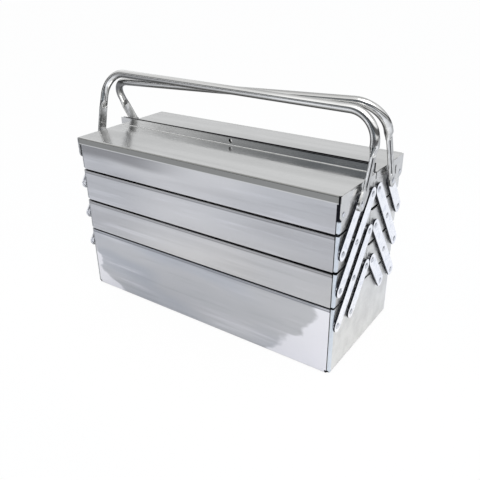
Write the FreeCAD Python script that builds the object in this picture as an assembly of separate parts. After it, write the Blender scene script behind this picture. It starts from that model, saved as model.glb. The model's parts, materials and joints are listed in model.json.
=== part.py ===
import FreeCAD, Part
import math
import os

# Cantilever tool box of folded sheet steel, in millimetres.
# X runs along the box, the front is towards -Y, and Z is up.
# The origin is the middle of the base's underside.
# Six trays in two stacks spread outwards on sixteen flat bars, four at each corner.
# Two bent tubes are the carrying handles, and each is the lever that opens its stack.

Vector = FreeCAD.Vector

# Overall sizes
box_length = 470.0
box_depth = 200.0
base_height = 107.0
tray_height = 52.5

# Running gaps between the parts of the stack
base_gap = 1.0
tray_gap = 2.0
centre_gap = 2.0

# Folded sheet
sheet = 0.8
bend_inside = 1.2
hem_height = 5.0
end_bend = 3.0
end_flange = 18.0
wrap_setback = 2.5
inner_hem_setback = 1.0

# Lids
lid_lip = 11.0
lid_skirt = 11.0
lid_upstand = 12.0
lid_front_gap = 0.5
lid_end_gap = 0.4
lid_lift = 0.9
lid_lip_setback = 3.7
lid_centre_gap = 4.8
lid_skirt_setback = 1.0
ear_width = 25.0
ear_round = 8.0
padlock_hole_radius = 3.5
padlock_hole_rise = 6.5

# Pivots, measured from the outside of the box and from the tray rims
outer_pivot_inset = 6.5
inner_pivot_offset = 10.5
pivot_drop = 24.5

# Bars and the spacers that hold them off the end panels
bar_width = 19.0
bar_thickness = 2.2
spacer_thickness = 2.4
spacer_radius = 5.5

# Rivets
rivet_radius = 2.2
rivet_head_radius = 4.4
rivet_head_height = 1.4
rivet_tail_radius = 2.7
rivet_tail_height = 1.0
lid_pin_radius = 2.0
lid_pin_head_radius = 3.8
lid_pin_head_height = 1.1

# Fits
fixed_clearance = 0.05
running_clearance = 0.08
open_pivot_clearance = 0.3
head_clearance = 0.1
tube_clearance = 1.6

# Handles: a round tube whose ends are pressed flat and welded on the lever bars
tube_radius = 6.25
strap_width = 17.0
strap_thickness = 2.8
strap_groove = 0.7
press_length = 12.0
paddle_width = 19.0

# Each handle's two bends, which differ a little as on any hand-bent tube. Forward and rise are
# where the lines of leg and grip would meet, in front of the box's middle and above the lids.
front_grip_left_forward = 15.0
front_grip_left_rise = 90.3
front_grip_left_bend = 40.0
front_grip_right_forward = 27.0
front_grip_right_rise = 86.3
front_grip_right_bend = 40.0
rear_grip_left_forward = 2.5
rear_grip_left_rise = 73.3
rear_grip_left_bend = 34.0
rear_grip_right_forward = 10.5
rear_grip_right_rise = 94.3
rear_grip_right_bend = 40.0

# Each leg's flat part: how far it is pressed flat above the lids, and how far its paddle
# runs on along the lever bar past the upper pivot
front_left_flat_rise = 33.0
front_left_paddle_reach = 6.0
front_right_flat_rise = 33.0
front_right_paddle_reach = 14.0
rear_left_flat_rise = 28.0
rear_left_paddle_reach = 24.0
rear_right_flat_rise = 43.0
rear_right_paddle_reach = 6.0

# How far cutting tools run past what they cut
overrun = 1.0

# Counts
tray_levels = 3

# Derived places
half_length = box_length / 2
half_depth = box_depth / 2
tray_pitch = tray_height + tray_gap
first_tray_bottom = base_height + base_gap
first_pivot_height = first_tray_bottom + tray_height - pivot_drop - tray_pitch
outer_pivot = half_depth - outer_pivot_inset
inner_pivot = inner_pivot_offset
middle_pivot = (outer_pivot + inner_pivot) / 2
pivot_columns = {"outer": outer_pivot, "middle": middle_pivot, "inner": inner_pivot}
bar_inside = half_length + spacer_thickness
bar_outside = bar_inside + bar_thickness
paddle_outside = bar_outside + strap_thickness
strap_plane = bar_outside + strap_thickness / 2
top_rim = first_tray_bottom + tray_levels * tray_pitch - tray_gap
lid_underside = top_rim + lid_lift
lid_top = lid_underside + sheet
lid_end = half_length + lid_end_gap + sheet
tube_plane = lid_end + tube_clearance + tube_radius
lid_front = half_depth + sheet + lid_front_gap + sheet
wrap_end = half_length - end_bend - wrap_setback
inner_hem_end = half_length - end_flange - inner_hem_setback

stacks = {"front": -1, "rear": 1}
ends = {"left": -1, "right": 1}

# The handles' values by stack and end
grip_places = {
    (-1, -1): (-front_grip_left_forward, lid_top + front_grip_left_rise),
    (-1, 1): (-front_grip_right_forward, lid_top + front_grip_right_rise),
    (1, -1): (-rear_grip_left_forward, lid_top + rear_grip_left_rise),
    (1, 1): (-rear_grip_right_forward, lid_top + rear_grip_right_rise),
}
grip_bends = {
    (-1, -1): front_grip_left_bend,
    (-1, 1): front_grip_right_bend,
    (1, -1): rear_grip_left_bend,
    (1, 1): rear_grip_right_bend,
}
flat_tops = {
    (-1, -1): lid_top + front_left_flat_rise,
    (-1, 1): lid_top + front_right_flat_rise,
    (1, -1): lid_top + rear_left_flat_rise,
    (1, 1): lid_top + rear_right_flat_rise,
}
paddle_reaches = {
    (-1, -1): front_left_paddle_reach,
    (-1, 1): front_right_paddle_reach,
    (1, -1): rear_left_paddle_reach,
    (1, 1): rear_right_paddle_reach,
}
level_names = {1: "lower_tray", 2: "middle_tray", 3: "upper_tray"}

# Each bar's pivots from its lower end: (level, column, is it left open in the joint tree)
bars = {
    "lever_bar": [(2, "outer", False), (3, "middle", True)],
    "upper_bar": [(1, "outer", False), (2, "middle", True), (3, "inner", False)],
    "lower_bar": [(0, "outer", False), (1, "middle", False), (2, "inner", False)],
    "foot_bar": [(0, "middle", False), (1, "inner", True)],
}


def box(low, high):
    corner = Vector(*low)
    size = Vector(*high) - corner
    return Part.makeBox(size.x, size.y, size.z, corner)


def in_yz(u, v):
    return Vector(0, u, v)


def in_xz(u, v):
    return Vector(u, 0, v)


def heading_vector(degrees):
    angle = math.radians(degrees)
    return Vector(math.cos(angle), math.sin(angle), 0)


def line_edge(place, start, end):
    return Part.LineSegment(place(start.x, start.y), place(end.x, end.y)).toShape()


def arc_edge(place, centre, radius, start_angle, turn):
    start, middle, end = [
        centre + heading_vector(start_angle + turn * share) * radius for share in (0, 0.5, 1)
    ]
    points = [place(point.x, point.y) for point in (start, middle, end)]
    return Part.Arc(*points).toShape()


def face_of(edges):
    return Part.Face(Part.Wire(Part.__sortEdges__(edges)))


def folded_face(place, start, heading, steps, side):
    """The section of a folded sheet.

    The path follows one face of the sheet, and side tells where the sheet lies:
    1 to the left of the path and -1 to the right. A step is a straight run and
    the turn after it in degrees, positive to the left.
    """
    here = Vector(start[0], start[1], 0)
    near_edges = []
    far_edges = []
    far_start = here + heading_vector(heading + 90 * side) * sheet
    first = here
    for run, turn in steps:
        across = heading_vector(heading + 90 * side) * sheet
        there = here + heading_vector(heading) * run
        near_edges.append(line_edge(place, here, there))
        far_edges.append(line_edge(place, here + across, there + across))
        here = there
        if turn:
            bend_side = math.copysign(1, turn)
            near_radius = bend_inside + (sheet if bend_side == side else 0)
            far_radius = bend_inside + (0 if bend_side == side else sheet)
            centre = here + heading_vector(heading + 90 * bend_side) * near_radius
            start_angle = heading - 90 * bend_side
            near_edges.append(arc_edge(place, centre, near_radius, start_angle, turn))
            far_edges.append(arc_edge(place, centre, far_radius, start_angle, turn))
            heading += turn
            here = centre + heading_vector(heading - 90 * bend_side) * near_radius
    far_end = here + heading_vector(heading + 90 * side) * sheet
    caps = [line_edge(place, first, far_start), line_edge(place, here, far_end)]
    return face_of(near_edges + far_edges + caps)


def along_x(face, half_run):
    placed = face.translated(Vector(-half_run, 0, 0))
    return placed.extrude(Vector(2 * half_run, 0, 0))


def along_y(face, low, high):
    placed = face.translated(Vector(0, low, 0))
    return placed.extrude(Vector(0, high - low, 0))


def mirrored_y(shape, side):
    if side < 0:
        return shape
    return shape.mirror(Vector(0, 0, 0), Vector(0, 1, 0))


def mirrored_x(shape, side):
    if side > 0:
        return shape
    return shape.mirror(Vector(0, 0, 0), Vector(1, 0, 0))


def cylinder_x(radius, low, high, y, z):
    return Part.makeCylinder(radius, high - low, Vector(low, y, z), Vector(1, 0, 0))


def merged(first, others):
    whole = first
    for other in others:
        whole = whole.fuse(other)
    return whole.removeSplitter()


def hem_face(place, low, rim):
    """A doubled edge as wide as two sheets, rounded on top."""
    high = low + 2 * sheet
    foot = rim - hem_height
    shoulder = rim - sheet
    places = [(low, shoulder), (low, foot), (high, foot), (high, shoulder)]
    corners = [Vector(u, v, 0) for u, v in places]
    edges = [line_edge(place, start, end) for start, end in zip(corners, corners[1:])]
    centre = Vector(low + sheet, shoulder, 0)
    edges.append(arc_edge(place, centre, sheet, 0, 180))
    return face_of(edges)


def pivot_height(level):
    return first_pivot_height + level * tray_pitch


def columns_at(level):
    found = [column for pivots in bars.values() for at, column, _ in pivots if at == level]
    return sorted(found)


def wrap(front, rear, bottom, rim, hem_places):
    """Front wall, floor and rear wall folded from one sheet, with doubled rims.

    A hem's place is its lower Y and half its length.
    """
    outside_bend = bend_inside + sheet
    wall = rim - sheet - bottom - outside_bend
    floor = rear - front - 2 * outside_bend
    section = folded_face(in_yz, (front, rim - sheet), -90, [(wall, 90), (floor, 90), (wall, 0)], 1)
    hems = [along_x(hem_face(in_yz, low, rim), half_run) for low, half_run in hem_places]
    return merged(along_x(section, wrap_end), hems)


def filleted_end_block(inset, front, rear, bottom, rim):
    """A block with the end panel's rounded outer edges, drawn in from them by the inset."""
    radius = end_bend - inset
    x_face = half_length - inset
    low = (half_length - end_flange - (overrun if inset else 0), front + inset, bottom + inset)
    high = (x_face, rear - inset, rim + (overrun if inset else 0))
    block = box(low, high)
    rounded = []
    for edge in block.Edges:
        middle = edge.CenterOfMass
        on_face = math.isclose(middle.x, x_face, abs_tol=fixed_clearance)
        on_floor = math.isclose(middle.z, low[2], abs_tol=fixed_clearance)
        on_side = not math.isclose(middle.y, (low[1] + high[1]) / 2, abs_tol=fixed_clearance)
        if (on_face and on_side) or (on_floor and (on_face or on_side) and middle.x > low[0] + fixed_clearance):
            rounded.append(edge)
    return block.makeFillet(radius, rounded)


def end_panel(end, front, rear, bottom, rim, holes):
    """An end panel with flanges on three sides, behind the wrap's edges."""
    floor = bottom + sheet
    outer = filleted_end_block(0, front + sheet, rear - sheet, floor, rim)
    inner = filleted_end_block(sheet, front + sheet, rear - sheet, floor, rim)
    panel = outer.cut(inner)
    hem_section = hem_face(in_xz, half_length - 2 * sheet, rim)
    hem_front = front + sheet + end_bend
    hem_rear = rear - sheet - end_bend
    hem = along_y(hem_section, hem_front, hem_rear)
    crown = box((half_length - sheet, hem_front, rim - sheet), (half_length, hem_rear, rim))
    panel = panel.cut(crown)
    panel = merged(panel, [hem])
    for y, z, radius in holes:
        panel = panel.cut(cylinder_x(radius, half_length - end_flange, half_length + overrun, y, z))
    return mirrored_x(panel, end)


def pivot_holes(level, side):
    radius = rivet_radius + fixed_clearance
    return [(side * pivot_columns[column], pivot_height(level), radius) for column in columns_at(level)]


def base_nodes():
    hem_places = [(-half_depth - sheet, wrap_end), (half_depth - sheet, wrap_end)]
    nodes = {"base_shell": wrap(-half_depth, half_depth, 0, base_height, hem_places)}
    holes = pivot_holes(0, -1) + pivot_holes(0, 1)
    for end_name, end in ends.items():
        panel = end_panel(end, -half_depth, half_depth, 0, base_height, holes)
        nodes["base_end_" + end_name] = panel
    return nodes


def tray_nodes(stack_name, level):
    side = stacks[stack_name]
    bottom = first_tray_bottom + (level - 1) * tray_pitch
    rim = bottom + tray_height
    inner_wall = -centre_gap / 2
    hem_places = [(-half_depth - sheet, wrap_end), (inner_wall - 2 * sheet, inner_hem_end)]
    shell = wrap(-half_depth, inner_wall, bottom, rim, hem_places)
    holes = pivot_holes(level, -1)
    if level == tray_levels:
        holes = holes + [(-outer_pivot, pivot_height(level), lid_pin_radius + fixed_clearance)]
    name = stack_name + "_" + level_names[level]
    nodes = {name: mirrored_y(shell, side)}
    for end_name, end in ends.items():
        panel = end_panel(end, -half_depth, inner_wall, bottom, rim, holes)
        nodes[name + "_end_" + end_name] = mirrored_y(panel, side)
    return nodes


def lid_ear():
    """The ear at the lid's outer corner, which turns on the hinge pin."""
    pin_height = pivot_height(tray_levels)
    foot = pin_height - ear_round
    front = -lid_front
    x_face = lid_end - sheet
    ear = box((x_face, front, foot), (lid_end, front + ear_width, lid_underside))
    corners = [edge for edge in ear.Edges
               if math.isclose(edge.CenterOfMass.z, foot, abs_tol=fixed_clearance)
               and math.isclose(edge.CenterOfMass.x, (x_face + lid_end) / 2, abs_tol=fixed_clearance)]
    ear = ear.makeFillet(min(ear_round, lid_front - outer_pivot), corners)
    hole_radius = lid_pin_radius + running_clearance
    return ear.cut(cylinder_x(hole_radius, x_face - overrun, lid_end + overrun, -outer_pivot, pin_height))


def lid_node(side):
    """A lid: lip in front, upstand at the centre, skirts and hinge ears at the ends."""
    outside_bend = bend_inside + sheet
    inner_face = -lid_centre_gap / 2 - sheet
    lip_run = lid_lip - outside_bend
    plate_run = inner_face + lid_front - outside_bend - bend_inside
    upstand_run = lid_upstand - bend_inside
    steps = [(lip_run, -90), (plate_run, 90), (upstand_run, 0)]
    section = folded_face(in_yz, (-lid_front, lid_top - lid_lip), 90, steps, -1)
    plate_end = lid_end - outside_bend
    lid = along_x(section, plate_end)
    lip_end = lid_end - lid_lip_setback
    skirt_steps = [(lid_skirt - outside_bend, 90), (outside_bend, 0)]
    skirt = folded_face(in_xz, (lid_end, lid_top - lid_skirt), 90, skirt_steps, 1)
    skirt_front = -lid_front + outside_bend + lid_skirt_setback
    skirt_rear = inner_face - bend_inside
    for end in ends.values():
        relief_low = (lip_end, -lid_front - overrun, lid_top - lid_lip - overrun)
        relief_high = (lid_end + overrun, -lid_front + outside_bend, lid_top + overrun)
        lid = lid.cut(mirrored_x(box(relief_low, relief_high), end))
        skirt_solid = along_y(skirt, skirt_front, skirt_rear)
        cheek_low = (lid_end - sheet, -lid_front, lid_underside - sheet)
        cheek_high = (lid_end, skirt_front, lid_underside)
        cheek = box(cheek_low, cheek_high)
        pieces = [mirrored_x(piece, end) for piece in (skirt_solid, lid_ear(), cheek)]
        lid = merged(lid, pieces)
    hole_height = lid_top + padlock_hole_rise
    hole_start = Vector(0, inner_face - overrun, hole_height)
    hole = Part.makeCylinder(padlock_hole_radius, lid_centre_gap + sheet + overrun, hole_start, Vector(0, 1, 0))
    return mirrored_y(lid.cut(hole), side)


def flat_bar(start, end, width, low, high, end_reach):
    """A flat bar with round ends between two places in the YZ plane."""
    first = Vector(start[0], start[1], 0)
    last = Vector(end[0], end[1], 0)
    run = last - first
    heading = math.degrees(math.atan2(run.y, run.x))
    last = last + heading_vector(heading) * end_reach
    offset = heading_vector(heading + 90) * (width / 2)
    edges = [
        line_edge(in_yz, first + offset, last + offset),
        arc_edge(in_yz, last, width / 2, heading + 90, -180),
        line_edge(in_yz, last - offset, first - offset),
        arc_edge(in_yz, first, width / 2, heading - 90, -180),
    ]
    face = face_of(edges).translated(Vector(low, 0, 0))
    return face.extrude(Vector(high - low, 0, 0))


def pivot_place(level, column):
    return (-pivot_columns[column], pivot_height(level))


def bar_node(name, side, end):
    pivots = bars[name]
    start = pivot_place(*pivots[0][:2])
    finish = pivot_place(*pivots[-1][:2])
    reach = max(paddle_reaches[side, end] - paddle_width / 2, 0) if name == "lever_bar" else 0
    bar = flat_bar(start, finish, bar_width, bar_inside, bar_outside, reach)
    for level, column, is_open in pivots:
        radius = rivet_radius + (open_pivot_clearance if is_open else running_clearance)
        y, z = pivot_place(level, column)
        bar = bar.cut(cylinder_x(radius, bar_inside - overrun, bar_outside + overrun, y, z))
    return mirrored_x(mirrored_y(bar, side), end)


def rivet(y, z, seat, radius, head_radius, head_height):
    """A rivet set in the end panel, with its round head against the outermost plate."""
    inside = half_length - sheet
    shank = cylinder_x(radius, inside, seat + head_clearance, y, z)
    tail = cylinder_x(rivet_tail_radius, inside - rivet_tail_height, inside, y, z)
    face_x = seat + head_clearance
    dome_radius = (head_radius ** 2 + head_height ** 2) / (2 * head_height)
    dome_centre = Vector(face_x + head_height - dome_radius, y, z)
    ball = Part.makeSphere(dome_radius, dome_centre)
    disc = cylinder_x(head_radius + overrun, face_x, face_x + head_height, y, z)
    return merged(ball.common(disc), [shank, tail])


def rivet_seat(level, column):
    if level == tray_levels and column == "middle":
        return paddle_outside
    return bar_outside


def rivets_of(level, side):
    solids = []
    for column in columns_at(level):
        y, z = pivot_place(level, column)
        one = rivet(y, z, rivet_seat(level, column), rivet_radius, rivet_head_radius, rivet_head_height)
        solids += [mirrored_x(mirrored_y(one, side), end) for end in ends.values()]
    return solids


def spacers_of(level, side):
    solids = []
    for column in columns_at(level):
        y, z = pivot_place(level, column)
        ring = cylinder_x(spacer_radius, half_length, bar_inside, y, z)
        bore_radius = rivet_radius + fixed_clearance
        ring = ring.cut(cylinder_x(bore_radius, half_length - overrun, bar_inside + overrun, y, z))
        solids += [mirrored_x(mirrored_y(ring, side), end) for end in ends.values()]
    return solids


def lid_pins(side):
    y, z = pivot_place(tray_levels, "outer")
    one = rivet(y, z, lid_end, lid_pin_radius, lid_pin_head_radius, lid_pin_head_height)
    solids = [mirrored_x(mirrored_y(one, side), end) for end in ends.values()]
    return Part.makeCompound(solids)


def strap_wire(centre, across):
    """The outline of the flattened tube, square to the leg: round edges, hollow faces."""
    x_half = Vector(strap_thickness / 2, 0, 0)
    x_waist = Vector(strap_thickness / 2 - strap_groove, 0, 0)
    flat = across * (strap_width / 2 - strap_thickness / 2)
    tip = across * (strap_width / 2)
    edges = [
        Part.Arc(centre - flat + x_half, centre + x_waist, centre + flat + x_half).toShape(),
        Part.Arc(centre + flat + x_half, centre + tip, centre + flat - x_half).toShape(),
        Part.Arc(centre + flat - x_half, centre - x_waist, centre - flat - x_half).toShape(),
        Part.Arc(centre - flat - x_half, centre - tip, centre - flat + x_half).toShape(),
    ]
    return Part.Wire(edges)


def tube_wire(centre, across):
    """The tube's round outline in four arcs, one for each edge of the flattened outline."""
    x_reach = Vector(tube_radius, 0, 0)
    y_reach = across * tube_radius
    poles = [x_reach, y_reach, -x_reach, -y_reach]
    splits = [(first + second) * math.sqrt(1 / 2) for first, second in zip(poles[-1:] + poles, poles)]
    edges = []
    for at, pole in enumerate(poles):
        after = splits[(at + 1) % len(splits)]
        edges.append(Part.Arc(centre + splits[at], centre + pole, centre + after).toShape())
    return Part.Wire(edges)


def handle_leg(side, end):
    """One flattened leg of a handle, and the place on its axis where the tube starts."""
    pivot_y, pivot_z = pivot_place(tray_levels, "middle")
    pivot = Vector(0, -side * pivot_y, pivot_z)
    slope = math.atan2(tray_pitch, (outer_pivot - inner_pivot) / 2)
    along_bar = Vector(0, -side * math.cos(slope), math.sin(slope))
    kink = pivot + along_bar * paddle_reaches[side, end]
    rise = Vector(0, *grip_places[side, end]) - kink
    leg = rise * (1 / rise.Length)
    across = Vector(0, leg.z, -leg.y)
    flat_end = kink + leg * ((flat_tops[side, end] - kink.z) / leg.z)
    press_end = flat_end + leg * press_length
    in_tube = Vector(tube_plane, 0, 0)
    outlines = [
        strap_wire(kink + Vector(strap_plane, 0, 0), across),
        strap_wire(flat_end + in_tube, across),
        tube_wire(press_end + in_tube, across),
    ]
    paddle = flat_bar((pivot.y, pivot.z), (kink.y, kink.z), paddle_width, bar_outside, paddle_outside, 0)
    hole = cylinder_x(rivet_radius + open_pivot_clearance, bar_outside - overrun, paddle_outside + overrun,
                      pivot.y, pivot.z)
    flat = paddle.cut(hole).fuse(Part.makeLoft(outlines, True, True))
    return mirrored_x(flat, end), Vector(end * tube_plane, press_end.y, press_end.z)


def bend_arc(before, corner, after, radius):
    """The arc of the tube's centre line in the corner between two straight runs."""
    incoming = (before - corner).normalize()
    outgoing = (after - corner).normalize()
    half_angle = incoming.getAngle(outgoing) / 2
    reach = radius / math.tan(half_angle)
    bisector = (incoming + outgoing).normalize()
    centre_reach = radius / math.sin(half_angle)
    middle = corner + bisector * (centre_reach - radius)
    return Part.Arc(corner + incoming * reach, middle, corner + outgoing * reach).toShape()


def handle_node(side):
    """One handle: a bent tube with both ends pressed flat."""
    left_leg, left_start = handle_leg(side, -1)
    right_leg, right_start = handle_leg(side, 1)
    left_turn = Vector(-tube_plane, *grip_places[side, -1])
    right_turn = Vector(tube_plane, *grip_places[side, 1])
    left_arc = bend_arc(left_start, left_turn, right_turn, grip_bends[side, -1])
    right_arc = bend_arc(left_turn, right_turn, right_start, grip_bends[side, 1])
    arc_ends = [vertex.Point for arc in (left_arc, right_arc) for vertex in arc.Vertexes]
    stops = [left_start] + arc_ends + [right_start]
    runs = [Part.LineSegment(stops[at], stops[at + 1]).toShape() for at in (0, 2, 4)]
    path = Part.Wire([runs[0], left_arc, runs[1], right_arc, runs[2]])
    section = Part.Wire(Part.makeCircle(tube_radius, left_start, left_turn - left_start))
    tube = path.makePipeShell([section], True, False)
    return tube.fuse(left_leg).fuse(right_leg)


def all_nodes():
    nodes = base_nodes()
    nodes["base_rivets"] = Part.makeCompound(rivets_of(0, -1) + rivets_of(0, 1))
    nodes["base_spacers"] = Part.makeCompound(spacers_of(0, -1) + spacers_of(0, 1))
    for stack_name, side in stacks.items():
        for level, level_name in level_names.items():
            nodes.update(tray_nodes(stack_name, level))
            prefix = stack_name + "_" + level_name
            nodes[prefix + "_rivets"] = Part.makeCompound(rivets_of(level, side))
            nodes[prefix + "_spacers"] = Part.makeCompound(spacers_of(level, side))
        for bar_name in bars:
            for end_name, end in ends.items():
                nodes[stack_name + "_" + end_name + "_" + bar_name] = bar_node(bar_name, side, end)
        nodes[stack_name + "_lid"] = lid_node(side)
        nodes[stack_name + "_lid_pins"] = lid_pins(side)
        nodes[stack_name + "_handle"] = handle_node(side)
    return nodes


os.makedirs("parts", exist_ok=True)
for node_name, node_shape in all_nodes().items():
    node_shape.exportStep("parts/" + node_name + ".step")
    print(node_name, len(node_shape.Solids), node_shape.isValid(), round(node_shape.Volume))
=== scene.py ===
import json
import math

import bmesh
import bpy
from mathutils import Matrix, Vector


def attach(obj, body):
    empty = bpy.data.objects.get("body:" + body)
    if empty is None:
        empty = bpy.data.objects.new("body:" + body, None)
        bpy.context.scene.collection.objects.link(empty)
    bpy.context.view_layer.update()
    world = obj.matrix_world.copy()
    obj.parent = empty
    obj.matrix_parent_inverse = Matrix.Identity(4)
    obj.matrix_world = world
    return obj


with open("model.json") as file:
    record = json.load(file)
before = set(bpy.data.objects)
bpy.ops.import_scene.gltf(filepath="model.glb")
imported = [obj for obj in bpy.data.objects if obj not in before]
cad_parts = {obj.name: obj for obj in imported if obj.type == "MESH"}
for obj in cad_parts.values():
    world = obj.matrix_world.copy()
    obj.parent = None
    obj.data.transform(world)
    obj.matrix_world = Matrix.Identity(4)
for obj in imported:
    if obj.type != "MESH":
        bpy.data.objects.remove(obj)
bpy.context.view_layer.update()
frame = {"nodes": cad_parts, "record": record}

scene = bpy.context.scene

# Where the photograph was taken from: place in metres, turn in degrees, lens in millimetres
CAMERA_PLACE = (0.5006, -0.6849, 0.5290)
CAMERA_TURN = (63.506, 0.838, 35.022)
CAMERA_LENS = 42.53
SENSOR_WIDTH = 36

# Colours of the polished sheet, linear
BASE_BLUE_GREY = (0.41, 0.43, 0.48)
TRAY_BLUE_GREY = (0.48, 0.48, 0.495)
LID_GREY = (0.61, 0.61, 0.605)
END_WARM = (0.785, 0.785, 0.775)
SHEET_CLOUD = (0.64, 0.64, 0.65)
SHEET_DULL = (0.485, 0.49, 0.51)
# Light streaks, and the painted reflection in the base's lower corners
SHEET_LIGHT = (0.80, 0.80, 0.85)
# Painted reflection on the trays' lighter middles
SHEET_MIDDLE_REFLECTION = (0.76, 0.75, 0.75)
# Painted highlight on the right end's front bends, and painted shade on the left ones
SHEET_BEND_HIGHLIGHT = (0.66, 0.73, 0.82)
SHEET_FAR_BEND_SHADE = (0.30, 0.31, 0.33)
# Painted light on the inward sides beyond the left end face
SHEET_FAR_END_LIGHT = (0.86, 0.87, 0.89)
# Painted shade on the lids' lips
SHEET_LIP_SHADE = (0.26, 0.26, 0.25)
# Black painted shade in gaps, crevices, slots, seams, at the feet and on the walls' raw ends
SHADE_BLACK = (0.012, 0.012, 0.016)

# Colours of the zinc plated bars and rivets, and of the chrome plated handles
ZINC_WHITE = (0.95, 0.955, 0.985)
ZINC_MOTTLE = (0.66, 0.69, 0.80)
# Painted shade on the bars' edge faces
ZINC_EDGE_SHADE = (0.022, 0.024, 0.032)
ZINC_SCRATCH = (0.33, 0.35, 0.40)
# Painted highlight along the bars' rounded edges
ZINC_EDGE_HIGHLIGHT = (0.95, 0.96, 1.0)
RIVET_GREY = (0.70, 0.71, 0.75)
RIVET_DENT = (0.42, 0.44, 0.48)
# Painted shade on the rivets' rims
RIVET_RIM_SHADE = (0.12, 0.12, 0.14)
CHROME = (0.95, 0.95, 0.94)
CHROME_GREY = (0.68, 0.68, 0.67)
# Painted dark reflection on the chrome where it turns away and below its top
CHROME_DARK_REFLECTION = (0.045, 0.045, 0.045)
# A dark wire of painted shade down each strap
SEAM_SHADE = (0.05, 0.05, 0.055)

# Colours of the stage
WHITE = (1.0, 1.0, 1.0)
PAPER_WHITE = (0.92, 0.92, 0.92)
PAPER_FAR = (0.80, 0.815, 0.85)
AIR_LOW = (0.88, 0.89, 0.90)
ROOM_DIM = (0.17, 0.195, 0.22)
ROOM_FOOT = (0.07, 0.07, 0.075)
WALL_FOOT = (0.12, 0.12, 0.12)
WINDOW_LIGHT = (1.9, 1.92, 1.95)

# The paper floor: its radius and how far under the base it lies, in metres, and how much of it
# is plain white to the camera, where the rest shows the paper with the box's shadow
FLOOR_RADIUS = 9
FLOOR_DROP = 0.0004
FLOOR_WHITE_SHARE = 0.95

# Places on the closed box in metres: the lids, their lips, and the upstands at the middle
LID_TOP = 0.2712
LID_OUTER_HALF = 0.055
LIP_FOOT = LID_TOP - 0.011
UPSTAND_TOP = LID_TOP + 0.012
UPSTAND_INNER_FACE = 0.0024
UPSTAND_OUTER_SIDE = 0.0055

# Places on the closed box in metres: the walls, with the tops of the base, the lower trays and
# the middle trays, and how far under each top the photograph's dark line lies
WALL_RIGHT_END = 0.235
WALL_TOPS = (0.1070, 0.1605, 0.2150)
# The line below each rim is painted shade on the walls
RIM_LINE_DEPTH = 0.0034

# Places on the closed box in metres: the flanges and faces of the end panels, the slot between
# lid and wall at the right front corner, and the feet of the front edges
# The bends are painted as highlight at the right and as shade at the left; the seams, the slot
# and the feet are painted black as shade
FLANGE_EDGE = 0.0956
FLANGE_BEND = 0.2305
FLANGE_SEAM = 0.23035
SLOT_SIDE = 0.2293
SLOT_FOOT = LID_TOP - 0.036
FOOT_SIDES = (0.2268, 0.2330)
FOOT_TOP = 0.0049
LEFT_END_FACE = -0.2352

# How metallic the inward sides beyond the left end face are, and the share of the pale colour
# painted on them as light
FAR_END_METALLIC = 0.35
FAR_END_SHARE = 0.8

# The handles' straps in metres: the middle plane at the paddle and at the pinch, how far off it
# the seam lies, how thick the pressed lines are, and the pinch crease's arch as places along
# the strap, across it and off its middle plane
STRAP_LOW_PLANE = 0.2410
STRAP_HIGH_PLANE = 0.24405
SEAM_OFF_MIDDLE = 0.0007
SEAM_RADIUS = 0.0007
CREASE_RADIUS = 0.0005
CREASE_ARCH = ((0.0045, -0.0061, 0.0026), (0.0005, -0.0035, 0.0012), (-0.002, 0, 0.0008),
               (0.0005, 0.0035, 0.0012), (0.0045, 0.0061, 0.0026))

# The straps' middle lines as (Y, Z), from the paddle to where the tube is pinched
STRAP_LINES = {
    ("front", "left"): ((-0.0484, 0.2498), (-0.0321, 0.3042)),
    ("front", "right"): ((-0.0435, 0.2561), (-0.0357, 0.3042)),
    ("rear", "left"): ((0.0375, 0.2641), (0.0200, 0.2992)),
    ("rear", "right"): ((0.0484, 0.2498), (0.0156, 0.3142)),
}


# Wiring of shader nodes

def add_node(tree, kind, settings=None, inputs=None):
    """A shader node with its settings, and inputs that are values or other nodes' sockets."""
    made = tree.nodes.new("ShaderNode" + kind)
    for name, value in (settings or {}).items():
        setattr(made, name, value)
    for name, value in (inputs or {}).items():
        if isinstance(value, bpy.types.NodeSocket):
            tree.links.new(value, made.inputs[name])
        else:
            made.inputs[name].default_value = value
    return made


def calculate(tree, operation, first, second=0.0, clamp=False):
    settings = {"operation": operation, "use_clamp": clamp}
    return add_node(tree, "Math", settings, {0: first, 1: second}).outputs[0]


def times(tree, *shares):
    """The product of masks and numbers."""
    product = shares[0]
    for share in shares[1:]:
        product = calculate(tree, "MULTIPLY", product, share)
    return product


def highest(tree, *masks):
    """The highest of several masks at each point."""
    top = masks[0]
    for mask in masks[1:]:
        top = calculate(tree, "MAXIMUM", top, mask)
    return top


def ramp(tree, value, low, high, to_low=0.0, to_high=1.0):
    """A smooth step from to_low, where the value is low, to to_high, where it is high."""
    inputs = {"Value": value, "From Min": low, "From Max": high,
              "To Min": to_low, "To Max": to_high}
    settings = {"interpolation_type": "SMOOTHSTEP"}
    return add_node(tree, "MapRange", settings, inputs).outputs["Result"]


def past(tree, value, edge, blur):
    """1 where the value is past the edge and 0 short of it, blurred on both sides."""
    return ramp(tree, value, edge - blur, edge + blur)


def short_of(tree, value, edge, blur):
    """1 where the value is short of the edge and 0 past it, blurred on both sides."""
    return ramp(tree, value, edge + blur, edge - blur)


def mix_colours(tree, share, first, second):
    """The first colour, or the second one where the share is 1."""
    made = add_node(tree, "Mix", {"data_type": "RGBA"}, {"Factor": share})
    for socket, value in ((made.inputs[6], first), (made.inputs[7], second)):
        if isinstance(value, bpy.types.NodeSocket):
            tree.links.new(value, socket)
        else:
            socket.default_value = (*value, 1)
    return made.outputs[2]


def layered(tree, body, *layers):
    """The body's colour with layers over it, each (mask, share of full cover, colour)."""
    for mask, share, colour in layers:
        cover = mask if share == 1 else times(tree, mask, share)
        body = mix_colours(tree, cover, body, colour)
    return body


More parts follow.
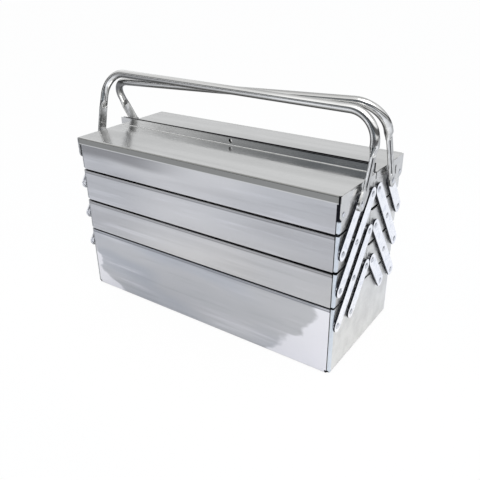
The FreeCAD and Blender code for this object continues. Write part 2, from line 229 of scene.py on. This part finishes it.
def new_effect(name, inputs, outputs):
    """A shader node group. Inputs are {name: value}, outputs are names of numbers."""
    tree = bpy.data.node_groups.new(name, "ShaderNodeTree")
    for label, value in inputs.items():
        socket = tree.interface.new_socket(name=label, in_out="INPUT",
                                           socket_type="NodeSocketFloat")
        socket.default_value = value
    for label in outputs:
        tree.interface.new_socket(name=label, in_out="OUTPUT", socket_type="NodeSocketFloat")
    given = tree.nodes.new("NodeGroupInput").outputs
    result = tree.nodes.new("NodeGroupOutput").inputs
    return tree, given, result


def place_effect(tree, effect, **values):
    """The outputs of an effect placed in the tree, with its named inputs set."""
    made = tree.nodes.new("ShaderNodeGroup")
    made.node_tree = effect
    for name, value in values.items():
        made.inputs[name.replace("_", " ")].default_value = value
    return made.outputs


def parts(tree, vector):
    """The X, Y and Z of a vector."""
    return add_node(tree, "SeparateXYZ", {}, {0: vector}).outputs


def place_on_solid(tree):
    """X, Y and Z of the place on the solid, in metres on the closed box."""
    return parts(tree, add_node(tree, "TexCoord").outputs["Object"])


def facing_of_solid(tree):
    """X, Y and Z of the way that the solid's surface faces."""
    return parts(tree, add_node(tree, "TexCoord").outputs["Normal"])


def solid_noise(tree, stretch=(1, 1, 1), turn=(0, 0, 0), **inputs):
    """Noise fixed to the solid, on its place in metres, stretched and turned."""
    place = add_node(tree, "TexCoord").outputs["Object"]
    mapped = add_node(tree, "Mapping", {}, {"Vector": place, "Scale": stretch, "Rotation": turn})
    return add_node(tree, "TexNoise", {}, {"Vector": mapped.outputs[0], **inputs}).outputs["Fac"]


# Effects that several finishes share

def sheet_ripple():
    """Soft unevenness of thin sheet, longer along the box than up its walls."""
    tree, given, result = new_effect("sheet_ripple", {"Scale": 9.0, "Detail": 1.0}, ["Height"])
    height = solid_noise(tree, (0.45, 1.0, 1.3), Scale=given["Scale"], Detail=given["Detail"])
    tree.links.new(height, result["Height"])
    return tree


def polish_lines():
    """Fine lines left by polishing along the box, and broad soft ones."""
    tree, given, result = new_effect("polish_lines", {"Fineness": 1.0}, ["Lines", "Broad"])
    fine = solid_noise(tree, (6, 420, 420), Scale=given["Fineness"], Detail=3.0, Roughness=0.7)
    broad = solid_noise(tree, (1.2, 38, 38), Scale=given["Fineness"], Detail=2.0)
    tree.links.new(ramp(tree, fine, 0.3, 0.7), result["Lines"])
    tree.links.new(ramp(tree, broad, 0.3, 0.7), result["Broad"])
    return tree


def handling_marks():
    """Cloudy smudges from hands, and short scratches in three directions."""
    tree, given, result = new_effect("handling_marks", {"Smudge Scale": 14.0, "Scratches": 0.5},
                                     ["Smudge", "Scratch"])
    clouds = solid_noise(tree, Scale=given["Smudge Scale"], Detail=4.0, Distortion=0.6)
    tree.links.new(ramp(tree, clouds, 0.42, 0.72), result["Smudge"])
    lines = []
    for stretch, turn in (((30, 900, 700), (0.3, 0.5, 0.2)), ((800, 26, 900), (0.2, -0.4, 0.7)),
                          ((700, 900, 30), (0.6, 0.2, -0.3))):
        streak = solid_noise(tree, stretch, turn, Scale=1.0, Detail=1.0)
        lines.append(ramp(tree, streak, 0.71, 0.76))
    scratches = calculate(tree, "MULTIPLY", highest(tree, *lines), given["Scratches"], True)
    tree.links.new(scratches, result["Scratch"])
    return tree


def edge_nearness():
    """Where an edge is near: 1 on the edge, 0 on the flat."""
    tree, given, result = new_effect("edge_nearness", {"Width": 0.0008}, ["Edge"])
    rounded = add_node(tree, "Bevel", {"samples": 4}, {"Radius": given["Width"]}).outputs[0]
    flat = add_node(tree, "NewGeometry").outputs["Normal"]
    facing = add_node(tree, "VectorMath", {"operation": "DOT_PRODUCT"}, {0: rounded, 1: flat})
    tree.links.new(ramp(tree, facing.outputs["Value"], 0.995, 0.80), result["Edge"])
    return tree


def crevice_shade():
    """Where other metal is close by, for painted shade: 1 deep in a gap, 0 in the open."""
    tree, given, result = new_effect("crevice_shade", {"Reach": 0.006}, ["Dirt"])
    openness = add_node(tree, "AmbientOcclusion", {"samples": 8}, {"Distance": given["Reach"]})
    tree.links.new(ramp(tree, openness.outputs["AO"], 0.62, 0.30), result["Dirt"])
    return tree


def wall_clouds():
    """Soft clouds in the polish of the tall walls, and painted reflections: the light patches at
    the base's lower corners, and the lighter middles of the trays."""
    tree, given, result = new_effect("wall_clouds", {"Scale": 5.0},
                                     ["Cloud", "Corner Reflection", "Middle"])
    clouds = solid_noise(tree, (0.7, 1.0, 1.9), (0, 0.35, 0), Scale=given["Scale"], Detail=1.5,
                         Distortion=0.5)
    tree.links.new(ramp(tree, clouds, 0.35, 0.68), result["Cloud"])
    place = place_on_solid(tree)
    off_centre = calculate(tree, "ABSOLUTE", calculate(tree, "ADD", place["X"], 0.02))
    tree.links.new(ramp(tree, off_centre, 0.17, 0.02), result["Middle"])
    # Each painted reflection patch is bounded by a slanted line across the corner, made uneven
    # by the noise
    right = past(tree, place["X"], 0, 0.01)
    lean = ramp(tree, right, 0, 1, 1.09, 0.70)
    reach = ramp(tree, right, 0, 1, 0.049, 0.108)
    strength = ramp(tree, right, 0, 1, 0.85, 0.95)
    ragged = solid_noise(tree, (0.6, 1, 1.4), Scale=34.0, Detail=3.0)
    noise = calculate(tree, "ADD", clouds, times(tree, ragged, 0.4))
    uneven = times(tree, calculate(tree, "SUBTRACT", noise, 0.7), 0.16)
    across = calculate(tree, "SUBTRACT", WALL_RIGHT_END, calculate(tree, "ABSOLUTE", place["X"]))
    slanted = calculate(tree, "ADD", across, times(tree, place["Z"], lean))
    beyond = calculate(tree, "SUBTRACT", calculate(tree, "ADD", slanted, uneven), reach)
    tree.links.new(times(tree, short_of(tree, beyond, 0, 0.007), strength), result["Corner Reflection"])
    return tree


def wall_streaks():
    """Long light and dark streaks along the tall walls, and a slow drift between warm and
    blue."""
    tree, given, result = new_effect("wall_streaks", {"Fineness": 1.0},
                                     ["Light", "Dark", "Warm"])
    streak = solid_noise(tree, (3.2, 60, 75), (0, 0.04, 0), Scale=given["Fineness"],
                         Detail=4.0, Roughness=0.62)
    patches = solid_noise(tree, (5, 9, 16), Scale=1.0, Detail=2.0)
    drift = solid_noise(tree, (4, 9, 13), (0, 0.5, 0), Scale=1.3, Detail=1.0)
    light = times(tree, ramp(tree, streak, 0.50, 0.66), ramp(tree, patches, 0.40, 0.60))
    tree.links.new(light, result["Light"])
    tree.links.new(ramp(tree, streak, 0.48, 0.34), result["Dark"])
    tree.links.new(ramp(tree, drift, 0.42, 0.62), result["Warm"])
    return tree


def lid_masks(tree, place, off_middle, frontal):
    """The lids' lips, darkened as painted shade, with the foot of a lip left in its plain
    colour; all folds, for a painted highlight, and the lip's fold, for painted shade; and the
    black painted shade between the upstands and along their upper rims, fading towards the left."""
    outer = past(tree, off_middle, LID_OUTER_HALF, 0.005)
    lip = times(tree, ramp(tree, frontal, 0.30, 0.62), outer)
    lip_foot = short_of(tree, place["Z"], LIP_FOOT + 0.0013, 0.0005)
    fold = times(tree, ramp(tree, frontal, 0.04, 0.20), ramp(tree, frontal, 0.98, 0.90))
    lip_fold = times(tree, fold, outer, ramp(tree, place["X"], -0.19, -0.08))
    between = times(tree, short_of(tree, off_middle, UPSTAND_INNER_FACE + 0.0003, 0.0001),
                    ramp(tree, frontal, 0.3, 0.6))
    over_upstand = short_of(tree, off_middle, UPSTAND_OUTER_SIDE, 0.0005)
    on_top = times(tree, past(tree, off_middle, UPSTAND_INNER_FACE - 0.0001, 0.0001),
                   over_upstand, past(tree, place["Z"], UPSTAND_TOP - 0.0006, 0.0002))
    upper_rim = times(tree, over_upstand, past(tree, place["Z"], UPSTAND_TOP - 0.0015, 0.0003),
                      ramp(tree, place["X"], 0.0, 0.16))
    fading_left = ramp(tree, place["X"], -0.16, 0.02, 0.25, 1)
    black = times(tree, highest(tree, between, on_top, upper_rim), fading_left)
    return {"Lip": lip, "Lip Foot": times(tree, lip, lip_foot), "Fold": fold,
            "Lip Fold": lip_fold, "Upstand Gap Shade": black}


def band_mask(tree, place, frontal, band_height):
    """The painted shadow band that the front lip throws on the upper tray's left half."""
    uneven = solid_noise(tree, (1, 1, 0.2), Scale=16.0)
    shifted = calculate(tree, "ADD", place["Z"], times(tree, uneven, 0.006))
    depth = calculate(tree, "SUBTRACT", LIP_FOOT + 0.004, shifted)
    share = calculate(tree, "DIVIDE", depth, band_height)
    return times(tree, ramp(tree, share, 1.30, 0.65), ramp(tree, share, -1.2, -0.6),
                 ramp(tree, place["X"], 0.02, -0.13), ramp(tree, frontal, 0.55, 0.75))


def rim_masks(tree, place, frontal):
    """The rims of the base, the lower trays and the middle trays, for painted shade, and the
    painted shadow line below each."""
    rims, lines = [], []
    for top in WALL_TOPS:
        rims.append(times(tree, past(tree, place["Z"], top - 0.0033, 0.0003),
                          short_of(tree, place["Z"], top + 0.00035, 0.00025)))
        off_line = calculate(tree, "SUBTRACT", place["Z"], top - RIM_LINE_DEPTH)
        lines.append(short_of(tree, calculate(tree, "ABSOLUTE", off_line), 0.0010, 0.0004))
    rim = times(tree, highest(tree, *rims), ramp(tree, frontal, 0.05, 0.15))
    line = times(tree, highest(tree, *lines), ramp(tree, frontal, 0.7, 0.9))
    return {"Rim": rim, "Rim Line": line}


def end_masks(tree, place, facing, off_middle):
    """The bend, seam and foot at the end panels' front edges, the slot at the lid's right front
    corner, and the sides beyond the left end face that look inwards: the right bend takes a
    painted highlight, the left bend painted shade, the seam, foot and slot black painted shade,
    and the inward sides painted light."""
    off_centre = calculate(tree, "ABSOLUTE", place["X"])
    right_half = past(tree, place["X"], 0, 0.01)
    left_half = calculate(tree, "SUBTRACT", 1.0, right_half)
    on_flange = past(tree, off_middle, FLANGE_EDGE, 0.0002)
    bend = times(tree, on_flange, past(tree, off_centre, FLANGE_BEND, 0.0003))
    seam = times(tree, on_flange, short_of(tree, off_centre, FLANGE_SEAM, 0.00025),
                 ramp(tree, right_half, 0, 1, 0.4, 1))
    slot = times(tree, on_flange, past(tree, place["X"], SLOT_SIDE, 0.0003),
                 past(tree, place["Z"], SLOT_FOOT, 0.0015))
    foot = times(tree, on_flange, past(tree, off_centre, FOOT_SIDES[0], 0.0004),
                 short_of(tree, off_centre, FOOT_SIDES[1], 0.0004),
                 short_of(tree, place["Z"], FOOT_TOP, 0.0007))
    inward = times(tree, ramp(tree, facing["X"], -0.7, -0.4), ramp(tree, facing["Y"], 0.2, -0.1))
    far_end = times(tree, short_of(tree, place["X"], LEFT_END_FACE, 0.0002), inward)
    return {"Slot": slot, "Bend": times(tree, bend, right_half),
            "Far Bend": times(tree, bend, left_half), "Seam": seam, "Foot": foot,
            "Far End Light": far_end}


def box_places():
    """Masks by place on the closed box, where shade, highlights and light are painted on the
    sheet at its folds, gaps, rims and edges.
    """
    tree, given, result = new_effect(
        "box_places", {"Band Height": 0.014},
        ["Lip", "Lip Foot", "Fold", "Lip Fold", "Upstand Gap Shade", "Under Lip", "Rim Line", "Rim",
         "Slot", "Bend", "Far Bend", "Seam", "Foot", "Far End Light"])
    place = place_on_solid(tree)
    facing = facing_of_solid(tree)
    off_middle = calculate(tree, "ABSOLUTE", place["Y"])
    frontal = calculate(tree, "ABSOLUTE", facing["Y"])
    masks = {"Under Lip": band_mask(tree, place, frontal, given["Band Height"]),
             **lid_masks(tree, place, off_middle, frontal),
             **rim_masks(tree, place, frontal),
             **end_masks(tree, place, facing, off_middle)}
    for name, mask in masks.items():
        tree.links.new(mask, result[name])
    return tree


ripple_effect = sheet_ripple()
lines_effect = polish_lines()
marks_effect = handling_marks()
edge_effect = edge_nearness()
crevice_shade_effect = crevice_shade()
clouds_effect = wall_clouds()
streaks_effect = wall_streaks()
places_effect = box_places()


# Finishes

def new_finish(name):
    """A new material, its nodes and its main shader."""
    finish = bpy.data.materials.new(name)
    finish.use_nodes = True
    tree = finish.node_tree
    return finish, tree, tree.nodes["Principled BSDF"]


def bumped(tree, height, distance, normal=None):
    """A normal raised by the height, which is worth the distance in metres where it is 1."""
    inputs = {"Height": height, "Distance": distance, "Strength": 1.0}
    if normal:
        inputs["Normal"] = normal
    return add_node(tree, "Bump", {}, inputs).outputs[0]


def darkened_crevices(tree, body, reach, share=0.92):
    """The body's colour with painted shade: nearly black where other metal is within the reach
    in metres.
    """
    crevice_shade_mask = place_effect(tree, crevice_shade_effect, Reach=reach)["Dirt"]
    return layered(tree, body, (crevice_shade_mask, share, SHADE_BLACK))


def wall_colour(tree, body, colour, clouds, places, corner_reflection_share, middle_reflection_share):
    """The walls of base and trays: raw sheet ends painted black as shade, streaks, painted
    reflection in light patches and middles, painted shade in the band under the lip, on the
    rims, along the line below each and at the feet.
    """
    shaded = tuple(part * 0.52 for part in colour)
    sideways = calculate(tree, "ABSOLUTE", facing_of_solid(tree)["X"])
    streaks = place_effect(tree, streaks_effect)
    # Painted shade and reflection by place: black on raw ends and feet, light patches, the band
    # under the lip, rims and rim lines
    return layered(tree, body,
                   (ramp(tree, sideways, 0.6, 0.8), 1, SHADE_BLACK),
                   (streaks["Warm"], 0.7, SHEET_DULL),
                   (streaks["Light"], 0.34, SHEET_LIGHT),
                   (streaks["Dark"], 0.2, shaded),
                   (clouds["Corner Reflection"], corner_reflection_share, SHEET_LIGHT),
                   (clouds["Middle"], middle_reflection_share, SHEET_MIDDLE_REFLECTION),
                   (places["Under Lip"], 0.85, shaded),
                   (places["Rim"], 0.55, shaded),
                   (places["Rim Line"], 0.8, shaded),
                   (places["Foot"], 1, SHADE_BLACK))


def lid_colour(tree, body, colour, brighter, places):
    """The lids: painted highlight on the folds, painted shade on the lips and their folds, and
    black painted shade between the upstands.
    """
    return layered(tree, body,
                   (places["Fold"], 1, brighter),
                   (places["Lip Fold"], 0.8, SHEET_LIP_SHADE),
                   (places["Lip"], 1, SHEET_LIP_SHADE),
                   (places["Lip Foot"], 1, colour),
                   (places["Upstand Gap Shade"], 1, SHADE_BLACK))


def end_colour(tree, body, places):
    """The end panels: painted highlight on the bend at the right, painted shade on the one at
    the left, and black painted shade in the slot, the seam and the feet.
    """
    dark = highest(tree, places["Slot"], places["Seam"], places["Foot"])
    return layered(tree, body,
                   (places["Bend"], 0.7, SHEET_BEND_HIGHLIGHT),
                   (places["Far Bend"], 0.8, SHEET_FAR_BEND_SHADE),
                   (dark, 1, SHADE_BLACK))


def polished_sheet(name, kind, colour, roughness, ripple, ripple_scale, cloud_share=0.0,
                   corner_reflection_share=0.0, middle_reflection_share=0.0):
    """Polished stainless sheet with polishing lines, soft ripple, smudges, scratches, a painted
    highlight along its edges, painted shade in its crevices, and painted light on the inward
    sides beyond the left end face. The kind is wall, lid or end."""
    finish, tree, shader = new_finish(name)
    lines = place_effect(tree, lines_effect)
    marks = place_effect(tree, marks_effect, Smudge_Scale=11.0, Scratches=0.5)
    edge = place_effect(tree, edge_effect, Width=0.0007)["Edge"]
    soft = place_effect(tree, ripple_effect, Scale=ripple_scale)["Height"]
    clouds = place_effect(tree, clouds_effect, Scale=5.0)
    places = place_effect(tree, places_effect, Band_Height=0.018)
    darker = tuple(part * 0.86 for part in colour)
    brighter = tuple(min(1, part * 1.35) for part in colour)
    # Over the polish lines: clouds, brighter scratches, and a painted highlight along the edges
    body = layered(tree, mix_colours(tree, lines["Broad"], darker, colour),
                   (clouds["Cloud"], cloud_share, SHEET_CLOUD),
                   (marks["Scratch"], 0.35, brighter),
                   (edge, 0.3, brighter))
    if kind == "wall":
        body = wall_colour(tree, body, colour, clouds, places, corner_reflection_share, middle_reflection_share)
    if kind == "lid":
        body = lid_colour(tree, body, colour, brighter, places)
    # Painted light on the inward sides beyond the left end face
    body = layered(tree, body, (places["Far End Light"], FAR_END_SHARE, SHEET_FAR_END_LIGHT))
    if kind == "end":
        body = end_colour(tree, body, places)
    # Painted shade in crevices, where other metal is close by
    reach = 0.004 if kind == "end" else 0.0035
    tree.links.new(darkened_crevices(tree, body, reach), shader.inputs["Base Color"])
    rough = ramp(tree, lines["Lines"], 0, 1, roughness * 0.85, roughness * 1.25)
    rough = calculate(tree, "ADD", rough, times(tree, marks["Smudge"], 0.07))
    if kind == "lid":
        rough = calculate(tree, "ADD", rough, times(tree, places["Fold"], 0.16))
    tree.links.new(rough, shader.inputs["Roughness"])
    metallic = ramp(tree, places["Far End Light"], 0, 1, 1, FAR_END_METALLIC)
    tree.links.new(metallic, shader.inputs["Metallic"])
    normal = bumped(tree, soft, ripple)
    if kind != "end":
        normal = bumped(tree, lines["Lines"], 0.000004, normal)
    tree.links.new(normal, shader.inputs["Normal"])
    return finish


def zinc_bar():
    """Bright zinc on flat bar, with painted shade on its edge faces that lessens towards the
    left end, a painted highlight along its rounded edges, painted shade where other metal is
    close, and a lightly mottled face.
    """
    finish, tree, shader = new_finish("zinc_plated_bar")
    marks = place_effect(tree, marks_effect, Smudge_Scale=120.0, Scratches=1.0)
    edge = place_effect(tree, edge_effect, Width=0.0006)["Edge"]
    far_end = place_effect(tree, places_effect)["Far End Light"]
    sideways = calculate(tree, "ABSOLUTE", facing_of_solid(tree)["X"])
    fading_left = ramp(tree, place_on_solid(tree)["X"], -0.1, 0.1, 0.15, 1)
    # Painted shade on the edge faces, less of it towards the left end
    edge_shade = times(tree, ramp(tree, sideways, 0.75, 0.45), fading_left)
    # Painted highlight along the rounded edges
    edge_highlight = times(tree, edge, calculate(tree, "SUBTRACT", 1.0, edge_shade))
    body = layered(tree, ZINC_WHITE,
                   (marks["Smudge"], 0.45, ZINC_MOTTLE),
                   (marks["Scratch"], 0.5, ZINC_SCRATCH),
                   (edge_shade, 1, ZINC_EDGE_SHADE),
                   (edge_highlight, 0.7, ZINC_EDGE_HIGHLIGHT))
    # Painted shade where the bar nears other metal
    tree.links.new(darkened_crevices(tree, body, 0.0015, 0.5), shader.inputs["Base Color"])
    tree.links.new(ramp(tree, marks["Smudge"], 0, 1, 0.24, 0.42), shader.inputs["Roughness"])
    metallic = ramp(tree, far_end, 0, 1, 1, FAR_END_METALLIC)
    tree.links.new(metallic, shader.inputs["Metallic"])
    tree.links.new(bumped(tree, marks["Smudge"], 0.00004), shader.inputs["Normal"])
    return finish


def zinc_rivet():
    """Hammered rivet heads: small dents, rims darkened as painted shade, and painted light on
    those beyond the left end face.
    """
    finish, tree, shader = new_finish("zinc_plated_rivet")
    marks = place_effect(tree, marks_effect, Smudge_Scale=260.0, Scratches=1.0)
    edge = place_effect(tree, edge_effect, Width=0.0005)["Edge"]
    far_end = place_effect(tree, places_effect)["Far End Light"]
    # Painted shade on the rims, and painted light on the rivets beyond the left end face
    body = layered(tree, RIVET_GREY,
                   (marks["Smudge"], 1, RIVET_DENT),
                   (edge, ramp(tree, far_end, 0, 1, 0.5, 0.15), RIVET_RIM_SHADE),
                   (far_end, FAR_END_SHARE, SHEET_FAR_END_LIGHT))
    tree.links.new(body, shader.inputs["Base Color"])
    tree.links.new(ramp(tree, marks["Smudge"], 0, 1, 0.18, 0.34), shader.inputs["Roughness"])
    metallic = ramp(tree, far_end, 0, 1, 1, FAR_END_METALLIC)
    tree.links.new(metallic, shader.inputs["Metallic"])
    tree.links.new(bumped(tree, marks["Smudge"], 0.00012), shader.inputs["Normal"])
    return finish


def chrome_tube():
    """Bright chrome plate on drawn tube: painted dark reflection where it turns away, with soft
    grey streaks along it and one painted dark reflection line below its top."""
    finish, tree, shader = new_finish("chrome_plated_tube")
    streaks = solid_noise(tree, (1.5, 150, 110), Scale=1.0, Detail=1.0)
    clouds = solid_noise(tree, (14, 30, 22), Scale=1.0, Detail=1.0)
    place = place_on_solid(tree)
    facing = facing_of_solid(tree)
    away = add_node(tree, "LayerWeight", {}, {"Blend": 0.5}).outputs["Facing"]
    top_share = ramp(tree, place["X"], -0.06, 0.10, 0.08, 0.55)
    outward = times(tree, facing["X"], place["X"])
    # Painted dark reflection where the tube turns away, less on its upper side at the right and
    # on its outward sides
    dark_reflection = times(tree, ramp(tree, away, 0.14, 0.50, 0, 0.88),
                     ramp(tree, facing["Z"], 0.35, 0.72, 1, top_share),
                     ramp(tree, outward, 0.17, 0.22, 1, 0.45))
    # Painted dark reflection line below the top
    off_line = calculate(tree, "ABSOLUTE", calculate(tree, "SUBTRACT", facing["Z"], 0.39))
    body = mix_colours(tree, ramp(tree, streaks, 0.38, 0.62), CHROME_GREY, CHROME)
    body = layered(tree, body,
                   (ramp(tree, clouds, 0.50, 0.72, 0, 0.6), 1, CHROME_GREY),
                   (dark_reflection, 1, CHROME_DARK_REFLECTION),
                   (ramp(tree, off_line, 0.11, 0.05, 0, 0.9), 1, CHROME_DARK_REFLECTION))
    tree.links.new(body, shader.inputs["Base Color"])
    tree.links.new(ramp(tree, clouds, 0.3, 0.7, 0.14, 0.21), shader.inputs["Roughness"])
    shader.inputs["Metallic"].default_value = 1.0
    return finish


def finish_solids():
    """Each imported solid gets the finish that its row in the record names."""
    finishes = {
        "base_sheet": polished_sheet(
            "base_wall_sheet", "wall", BASE_BLUE_GREY, roughness=0.16, ripple=0.0030,
            ripple_scale=7.0, cloud_share=0.45, corner_reflection_share=0.95),
        "tray_sheet": polished_sheet(
            "tray_wall_sheet", "wall", TRAY_BLUE_GREY, roughness=0.16, ripple=0.0016,
            ripple_scale=9.0, cloud_share=0.6, middle_reflection_share=0.32),
        "end_sheet": polished_sheet(
            "end_panel_sheet", "end", END_WARM, roughness=0.42, ripple=0.0003,
            ripple_scale=9.0),
        "lid_sheet": polished_sheet(
            "lid_sheet", "lid", LID_GREY, roughness=0.14, ripple=0.0008, ripple_scale=8.0),
        "bar_steel": zinc_bar(),
        "rivet_steel": zinc_rivet(),
        "handle_tube": chrome_tube(),
    }
    for row in frame["record"]["subparts"]:
        solid = frame["nodes"][row["node"]]
        for slot in solid.material_slots:
            slot.material = finishes[row["material_slot"]]


# Pressed straps of the handles

def strap_finish(name, colour, roughness):
    """Smudged and scratched metal of one colour, for the straps' pressed lines."""
    finish, tree, shader = new_finish(name)
    marks = place_effect(tree, marks_effect, Smudge_Scale=180.0, Scratches=0.8)
    smudged = tuple(part * 0.6 for part in colour)
    tree.links.new(mix_colours(tree, marks["Smudge"], colour, smudged),
                   shader.inputs["Base Color"])
    tree.links.new(ramp(tree, marks["Scratch"], 0, 1, roughness, roughness + 0.15),
                   shader.inputs["Roughness"])
    shader.inputs["Metallic"].default_value = 1.0
    return finish


def strap_length(stack, end):
    """How long a strap is from the paddle to the pinch, in metres."""
    (low_y, low_z), (high_y, high_z) = STRAP_LINES[stack, end]
    return math.hypot(high_y - low_y, high_z - low_z)


def strap_place(stack, end, along, across, off_middle):
    """A place on a strap: metres past the pinch along it, metres across it, metres off its
    middle plane."""
    (low_y, low_z), (high_y, high_z) = STRAP_LINES[stack, end]
    length = strap_length(stack, end)
    step_y, step_z = (high_y - low_y) / length, (high_z - low_z) / length
    share = min(1 + along / length, 1)
    plane = STRAP_LOW_PLANE + (STRAP_HIGH_PLANE - STRAP_LOW_PLANE) * share
    mirror = -1 if end == "left" else 1
    y = high_y + step_y * along + step_z * across
    z = high_z + step_z * along - step_y * across
    return Vector((mirror * (plane + off_middle), y, z))


def add_wire(name, stack, runs, radius, finish):
    """A thin pressed line along each run of places, riding with the stack's lever set."""
    curve = bpy.data.curves.new(name, "CURVE")
    curve.dimensions = "3D"
    curve.bevel_depth = radius
    curve.bevel_resolution = 2
    curve.use_fill_caps = True
    for places in runs:
        spline = curve.splines.new("NURBS")
        spline.points.add(len(places) - 1)
        for point, place in zip(spline.points, places):
            point.co = (*place, 1)
        spline.order_u = 3
        spline.use_endpoint_u = True
    curve.materials.append(finish)
    piece = bpy.data.objects.new(name, curve)
    scene.collection.objects.link(piece)
    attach(piece, stack + "_lever_set")


def add_strap_lines():
    """The seam down the middle of each strap, a dark wire of painted shade, and the bright
    creases on both its faces where the tube is pinched."""
    seam = strap_finish("strap_seam", SEAM_SHADE, 0.35)
    crease = strap_finish("pinch_crease", CHROME, 0.12)
    for stack, end in STRAP_LINES:
        length = strap_length(stack, end)
        seam_places = [strap_place(stack, end, along, 0, SEAM_OFF_MIDDLE)
                       for along in (-length + 0.004, -length / 2, -0.006, -0.001)]
        creases = [[strap_place(stack, end, along, across, face * off)
                    for along, across, off in CREASE_ARCH] for face in (-1, 1)]
        strap = stack + "_" + end
        add_wire(strap + "_strap_seam", stack, [seam_places], SEAM_RADIUS, seam)
        add_wire(strap + "_pinch_crease", stack, creases, CREASE_RADIUS, crease)


# Stage

def floor_finish():
    """White paper: nearly plain white with a little of the box's shadow to the camera, lit
    paper to the metal, and greyer far away."""
    finish = bpy.data.materials.new("paper_floor")
    finish.use_nodes = True
    tree = finish.node_tree
    tree.nodes.clear()
    place = add_node(tree, "TexCoord").outputs["Object"]
    near = add_node(tree, "Mapping", {}, {"Vector": place, "Location": (0.02, 0.30, 0),
                                          "Scale": (1.9, 3.2, 1)})
    distance = add_node(tree, "VectorMath", {"operation": "LENGTH"}, {0: near.outputs[0]})
    colour = mix_colours(tree, ramp(tree, distance.outputs["Value"], 0.55, 1.1), PAPER_WHITE,
                         PAPER_FAR)
    paper = add_node(tree, "BsdfDiffuse", {}, {"Color": colour})
    white = add_node(tree, "Emission", {}, {"Color": (*WHITE, 1), "Strength": 1.0})
    camera_ray = add_node(tree, "LightPath").outputs["Is Camera Ray"]
    seen = times(tree, camera_ray, FLOOR_WHITE_SHARE)
    mixed = add_node(tree, "MixShader", {}, {0: seen, 1: paper.outputs[0], 2: white.outputs[0]})
    add_node(tree, "OutputMaterial", {}, {"Surface": mixed.outputs[0]})
    return finish


def add_floor():
    mesh = bpy.data.meshes.new("paper_floor")
    sheet = bmesh.new()
    bmesh.ops.create_circle(sheet, cap_ends=True, segments=96, radius=FLOOR_RADIUS)
    sheet.to_mesh(mesh)
    sheet.free()
    floor = bpy.data.objects.new("paper_floor", mesh)
    floor.location.z = -FLOOR_DROP
    scene.collection.objects.link(floor)
    mesh.materials.append(floor_finish())


def set_world():
    """Pale studio air: white to the camera. To the metal it is white above, with a dimmer
    room and a window on the camera's side, and dark at the foot of the room and of the wall.
    The parts of a way run from -1 to 1."""
    world = bpy.data.worlds.new("studio_air")
    world.use_nodes = True
    tree = world.node_tree
    tree.nodes.clear()
    way = parts(tree, add_node(tree, "TexCoord").outputs["Generated"])
    air = mix_colours(tree, ramp(tree, way["Z"], 0.1, 0.9), AIR_LOW, WHITE)
    dim = times(tree, ramp(tree, way["Y"], -0.66, -0.90), ramp(tree, way["Z"], 0.62, 0.45))
    window = times(tree, ramp(tree, way["Y"], -0.76, -0.66), ramp(tree, way["Y"], -0.50, -0.58),
                   ramp(tree, way["X"], -0.50, -0.60), ramp(tree, way["Z"], 0.42, 0.34))
    room_foot = times(tree, ramp(tree, way["Y"], 0.15, -0.15), ramp(tree, way["Z"], 0.21, 0.12))
    wall_foot = times(tree, ramp(tree, way["Y"], -0.15, 0.15), ramp(tree, way["Z"], 0.22, 0.12))
    room = layered(tree, air,
                   (dim, 1, ROOM_DIM),
                   (window, 1, WINDOW_LIGHT),
                   (room_foot, 1, ROOM_FOOT),
                   (wall_foot, 0.8, WALL_FOOT))
    seen = add_node(tree, "LightPath").outputs["Is Camera Ray"]
    colour = mix_colours(tree, seen, room, WHITE)
    background = add_node(tree, "Background", {}, {"Color": colour, "Strength": 1.0})
    add_node(tree, "OutputWorld", {}, {"Surface": background.outputs[0]})
    scene.world = world


def add_lamp(name, place, target, size, power):
    """A soft rectangular lamp at a place in metres, aimed at the target."""
    light = bpy.data.lights.new(name, "AREA")
    light.shape = "RECTANGLE"
    light.size, light.size_y = size
    light.energy = power
    lamp = bpy.data.objects.new(name, light)
    lamp.location = place
    aim = Vector(target) - Vector(place)
    lamp.rotation_euler = aim.to_track_quat("-Z", "Y").to_euler()
    scene.collection.objects.link(lamp)


def set_camera():
    data = bpy.data.cameras.new("photo_camera")
    data.lens = CAMERA_LENS
    data.sensor_width = SENSOR_WIDTH
    camera = bpy.data.objects.new("photo_camera", data)
    camera.location = CAMERA_PLACE
    camera.rotation_euler = [math.radians(turn) for turn in CAMERA_TURN]
    scene.collection.objects.link(camera)
    scene.camera = camera


scene.view_settings.view_transform = "Standard"
set_camera()
set_world()
add_floor()
add_lamp("key_softbox", place=(0.55, -0.45, 1.9), target=(0, 0, 0.1), size=(1.4, 1.0), power=14)
finish_solids()
add_strap_lines()
